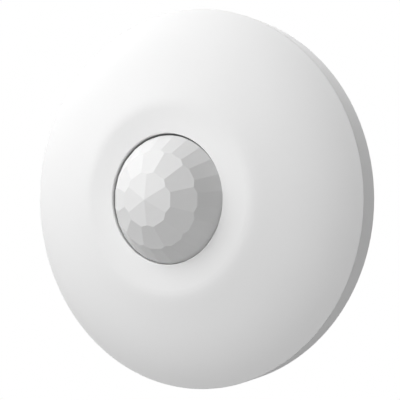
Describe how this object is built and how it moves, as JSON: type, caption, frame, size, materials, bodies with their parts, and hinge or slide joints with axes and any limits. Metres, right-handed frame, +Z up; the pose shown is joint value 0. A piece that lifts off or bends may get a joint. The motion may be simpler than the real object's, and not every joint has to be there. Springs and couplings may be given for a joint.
{
  "type": "motion sensor",
  "caption": "Round white ceiling motion detector: domed cover with a faceted lens dome, twist-on mounting plate, and battery-powered circuit board inside.",
  "frame": {"origin": "centre of the mounting plate's face that lies against the ceiling or wall", "axes": "-Y along the lens axis, away from the mounting surface; +Z up with the disc upright; +X to the right seen from the front"},
  "size_m": [0.12, 0.0321, 0.12],
  "materials": {
    "white_abs": "fine matt grain",
    "lens_pe": "satin translucent",
    "grey_abs": "fine matt grain",
    "black_plastic": "moulded",
    "solder_mask": "satin",
    "steel": "bright zinc",
    "nickel": "satin nickel",
    "tin": "satin",
    "filter_glass": "dark coated",
    "foam": "open cell foam",
    "cell_wrap": "printed sleeve",
    "brass": "satin gold",
    "chip_ceramic": "fired ceramic",
    "chip_black": "glazed",
    "led_lens": "clear",
    "button_white": "moulded",
    "copper": "enamelled"
  },
  "bodies": {
    "plate": {"mounting_plate": "white_abs"},
    "detector": {"rear_housing": "white_abs", "cover_clips": "steel", "circuit_board": "solder_mask", "board_screws": "steel", "pyro_sensor": "nickel", "sensor_window": "filter_glass", "sensor_leads": "tin", "sensor_seal": "foam", "wall_tamper_switch": "black_plastic", "wall_tamper_spring": "steel", "cover_tamper_switch": "black_plastic", "learn_switch": "black_plastic", "power_switch": "nickel", "dip_switch": "black_plastic", "battery_holder_upper": "black_plastic", "battery_holder_lower": "black_plastic", "battery_upper": "cell_wrap", "battery_lower": "cell_wrap", "battery_contacts": "nickel", "battery_springs": "nickel", "radio_module": "solder_mask", "radio_shield": "tin", "antenna": "copper", "microcontroller": "chip_black", "microcontroller_pins": "tin", "capacitors": "tin", "crystal": "steel", "resistors": "chip_black", "ceramic_capacitors": "chip_ceramic", "status_leds": "led_lens", "program_header": "black_plastic", "header_pins": "brass"},
    "cover": {"cover": "white_abs", "lens": "lens_pe", "lens_retainer": "grey_abs", "retainer_screws": "steel"},
    "cover_tamper": {"cover_tamper_plunger": "button_white"},
    "wall_tamper": {"wall_tamper_plunger": "button_white"},
    "learn_button": {"learn_button": "button_white"},
    "power_slider": {"power_slider": "black_plastic"},
    "dip_1": {"dip_slider_1": "button_white"},
    "dip_2": {"dip_slider_2": "button_white"}
  },
  "joints": [
    {"name": "detector_twist", "type": "hinge", "parent": "plate", "child": "detector", "pos_m": [0, 0, 0], "axis": [0, -1, 0], "range_deg": [0, 10]},
    {"name": "cover_lift", "type": "slide", "parent": "detector", "child": "cover", "axis": [0, -1, 0], "range_m": [0, 0.05], "deforming": ["cover_clips"]},
    {"name": "cover_tamper_travel", "type": "slide", "parent": "detector", "child": "cover_tamper", "axis": [0, -1, 0], "range_m": [0, 0.001]},
    {"name": "wall_tamper_travel", "type": "slide", "parent": "detector", "child": "wall_tamper", "axis": [0, 1, 0], "range_m": [0, 0.0015], "deforming": ["wall_tamper_spring"]},
    {"name": "learn_press", "type": "slide", "parent": "detector", "child": "learn_button", "axis": [0, 1, 0], "range_m": [0, 0.0003]},
    {"name": "power_slide", "type": "slide", "parent": "detector", "child": "power_slider", "axis": [1, 0, 0], "range_m": [0, 0.002]},
    {"name": "dip_1_slide", "type": "slide", "parent": "detector", "child": "dip_1", "axis": [0, 0, 1], "range_m": [0, 0.0012]},
    {"name": "dip_2_slide", "type": "slide", "parent": "detector", "child": "dip_2", "axis": [0, 0, 1], "range_m": [0, 0.0012]}
  ],
  "couplings": [
    {"joint": "cover_tamper_travel", "follows": "cover_lift", "ratio": 0.02}
  ]
}
